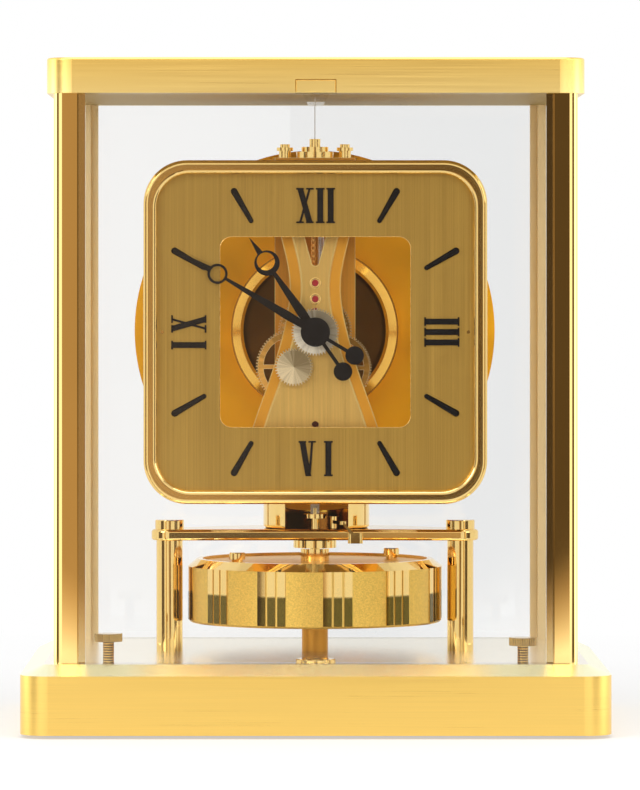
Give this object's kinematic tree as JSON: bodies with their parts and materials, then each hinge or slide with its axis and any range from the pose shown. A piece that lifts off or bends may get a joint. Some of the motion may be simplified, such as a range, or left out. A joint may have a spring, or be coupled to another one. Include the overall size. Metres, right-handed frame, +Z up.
{
  "type": "atmospheric clock",
  "caption": "Glazed brass mantel clock with a square open dial, bellows drum, torsion pendulum and opening front pane.",
  "frame": {"origin": "on the ground, under the middle of the plinth", "axes": "+Z up, the dial faces -Y, +X to the right as seen from the front"},
  "size_m": [0.206, 0.16, 0.2366],
  "materials": {
    "satin_gold": "horizontally brushed",
    "polished_gold": "polished",
    "pendulum_gold": "frosted panels and polished strips",
    "dial_brass": "vertically brushed",
    "plate_gold": "fine matt gilt",
    "amber_brass": "lacquered",
    "black_lacquer": "black satin",
    "pane_glass": "clear",
    "clear_plastic": "clear",
    "steel": "satin",
    "ruby": "polished ruby"
  },
  "bodies": {
    "case": {"base_plinth": "satin_gold", "base_cover": "steel", "case_screws": "steel", "rear_foot": "polished_gold", "level_ring": "polished_gold", "level_vial": "pane_glass", "corner_pillars": "polished_gold", "cap": "satin_gold", "ceiling_plate": "steel", "side_glasses": "pane_glass", "rear_glass": "pane_glass", "glass_channels": "polished_gold", "columns": "polished_gold", "column_nuts": "polished_gold", "bridge_plate": "polished_gold", "bridge_collar": "polished_gold", "escapement_housing": "polished_gold", "guide_post": "polished_gold", "wire_tube": "polished_gold", "suspension_wire": "steel", "suspension_block": "polished_gold", "suspension_collet": "polished_gold", "suspension_screws": "polished_gold", "drum_shell": "polished_gold", "drum_front": "amber_brass", "bellows_ring": "polished_gold", "bellows": "amber_brass", "front_plate": "plate_gold", "rear_plate": "plate_gold", "movement_posts": "polished_gold", "jewels": "ruby", "dial_plate": "dial_brass", "bezel": "polished_gold", "numerals": "black_lacquer", "hour_markers": "black_lacquer"},
    "front_door": {"front_glass": "pane_glass", "glass_catch": "clear_plastic"},
    "button": {"release_button": "polished_gold"},
    "latch": {"latch_lever": "steel"},
    "foot_left": {"foot_cup_left": "polished_gold"},
    "screw_left": {"levelling_screw_left": "polished_gold"},
    "foot_right": {"foot_cup_right": "polished_gold"},
    "screw_right": {"levelling_screw_right": "polished_gold"},
    "stop": {"stop_lever": "polished_gold"},
    "pendulum": {"pendulum_wheel": "pendulum_gold", "poising_screws": "polished_gold", "pendulum_staff": "polished_gold", "impulse_roller": "polished_gold"},
    "bellows_end": {"bellows_plate": "amber_brass"},
    "minute": {"minute_arbor": "plate_gold", "minute_hand": "black_lacquer", "hand_nut": "black_lacquer"},
    "hour": {"hour_wheel": "plate_gold", "hour_hand": "black_lacquer"},
    "transfer": {"transfer_wheels": "plate_gold"},
    "power": {"power_wheel": "plate_gold"},
    "barrel": {"mainspring_barrel": "plate_gold"},
    "third": {"third_wheel": "plate_gold"},
    "escape": {"escape_wheel": "steel"},
    "pallets": {"pallet_fork": "steel"}
  },
  "joints": [
    {"name": "minute_turn", "type": "hinge", "parent": "case", "child": "minute", "pos_m": [0, 0, 0.1405], "axis": [0, 1, 0], "continuous": true},
    {"name": "hour_turn", "type": "hinge", "parent": "case", "child": "hour", "pos_m": [0, 0, 0.1405], "axis": [0, 1, 0], "continuous": true},
    {"name": "transfer_turn", "type": "hinge", "parent": "case", "child": "transfer", "pos_m": [-0.00762, 0, 0.12802], "axis": [0, 1, 0], "continuous": true},
    {"name": "power_turn", "type": "hinge", "parent": "case", "child": "power", "pos_m": [0.00739, 0, 0.12759], "axis": [0, 1, 0], "continuous": true},
    {"name": "barrel_turn", "type": "hinge", "parent": "case", "child": "barrel", "pos_m": [0, 0, 0.1405], "axis": [0, 1, 0], "continuous": true},
    {"name": "third_turn", "type": "hinge", "parent": "case", "child": "third", "pos_m": [0, 0, 0.12358], "axis": [0, 1, 0], "continuous": true},
    {"name": "escape_turn", "type": "hinge", "parent": "case", "child": "escape", "pos_m": [0, 0, 0.11512], "axis": [0, 1, 0], "continuous": true},
    {"name": "pallet_rock", "type": "hinge", "parent": "case", "child": "pallets", "pos_m": [0, 0, 0.1075], "axis": [0, 1, 0], "range_deg": [-2, 2]},
    {"name": "pendulum_twist", "type": "hinge", "parent": "case", "child": "pendulum", "pos_m": [0, 0, 0.06], "axis": [0, 0, 1], "range_deg": [-270, 270], "stiffness_Nm_per_rad": 0.00001},
    {"name": "bellows_swell", "type": "slide", "parent": "case", "child": "bellows_end", "axis": [0, -1, 0], "range_m": [0, 0.003]},
    {"name": "front_tilt", "type": "hinge", "parent": "case", "child": "front_door", "pos_m": [0, -0.0678, 0.0255], "axis": [1, 0, 0], "range_deg": [0, 25]},
    {"name": "button_press", "type": "slide", "parent": "case", "child": "button", "axis": [0, 1, 0], "range_m": [0, 0.001], "stiffness_N_per_m": 300, "springref_m": -0.001},
    {"name": "latch_lift", "type": "hinge", "parent": "case", "child": "latch", "pos_m": [0, -0.0595, 0.2268], "axis": [-1, 0, 0], "range_deg": [0, 15]},
    {"name": "stop_swing", "type": "hinge", "parent": "case", "child": "stop", "pos_m": [0.007, 0.003, 0.071], "axis": [0, 0, 1], "range_deg": [-30, 0]},
    {"name": "foot_down_left", "type": "slide", "parent": "case", "child": "foot_left", "axis": [0, 0, -1], "range_m": [0, 0.0055]},
    {"name": "screw_turn_left", "type": "hinge", "parent": "foot_left", "child": "screw_left", "pos_m": [-0.0726, -0.059, 0.03], "axis": [0, 0, -1], "range_deg": [0, 2829]},
    {"name": "foot_down_right", "type": "slide", "parent": "case", "child": "foot_right", "axis": [0, 0, -1], "range_m": [0, 0.0055]},
    {"name": "screw_turn_right", "type": "hinge", "parent": "foot_right", "child": "screw_right", "pos_m": [0.0726, -0.059, 0.03], "axis": [0, 0, -1], "range_deg": [0, 2829]}
  ],
  "couplings": [
    {"joint": "hour_turn", "follows": "minute_turn", "ratio": 0.083333},
    {"joint": "transfer_turn", "follows": "minute_turn", "ratio": -0.10526},
    {"joint": "power_turn", "follows": "minute_turn", "ratio": -0.2},
    {"joint": "barrel_turn", "follows": "minute_turn", "ratio": 0.03},
    {"joint": "third_turn", "follows": "minute_turn", "ratio": -2},
    {"joint": "escape_turn", "follows": "minute_turn", "ratio": 4},
    {"joint": "latch_lift", "follows": "button_press", "rad_per_m": 250},
    {"joint": "screw_turn_left", "follows": "foot_down_left", "rad_per_m": 8976},
    {"joint": "screw_turn_right", "follows": "foot_down_right", "rad_per_m": 8976}
  ]
}
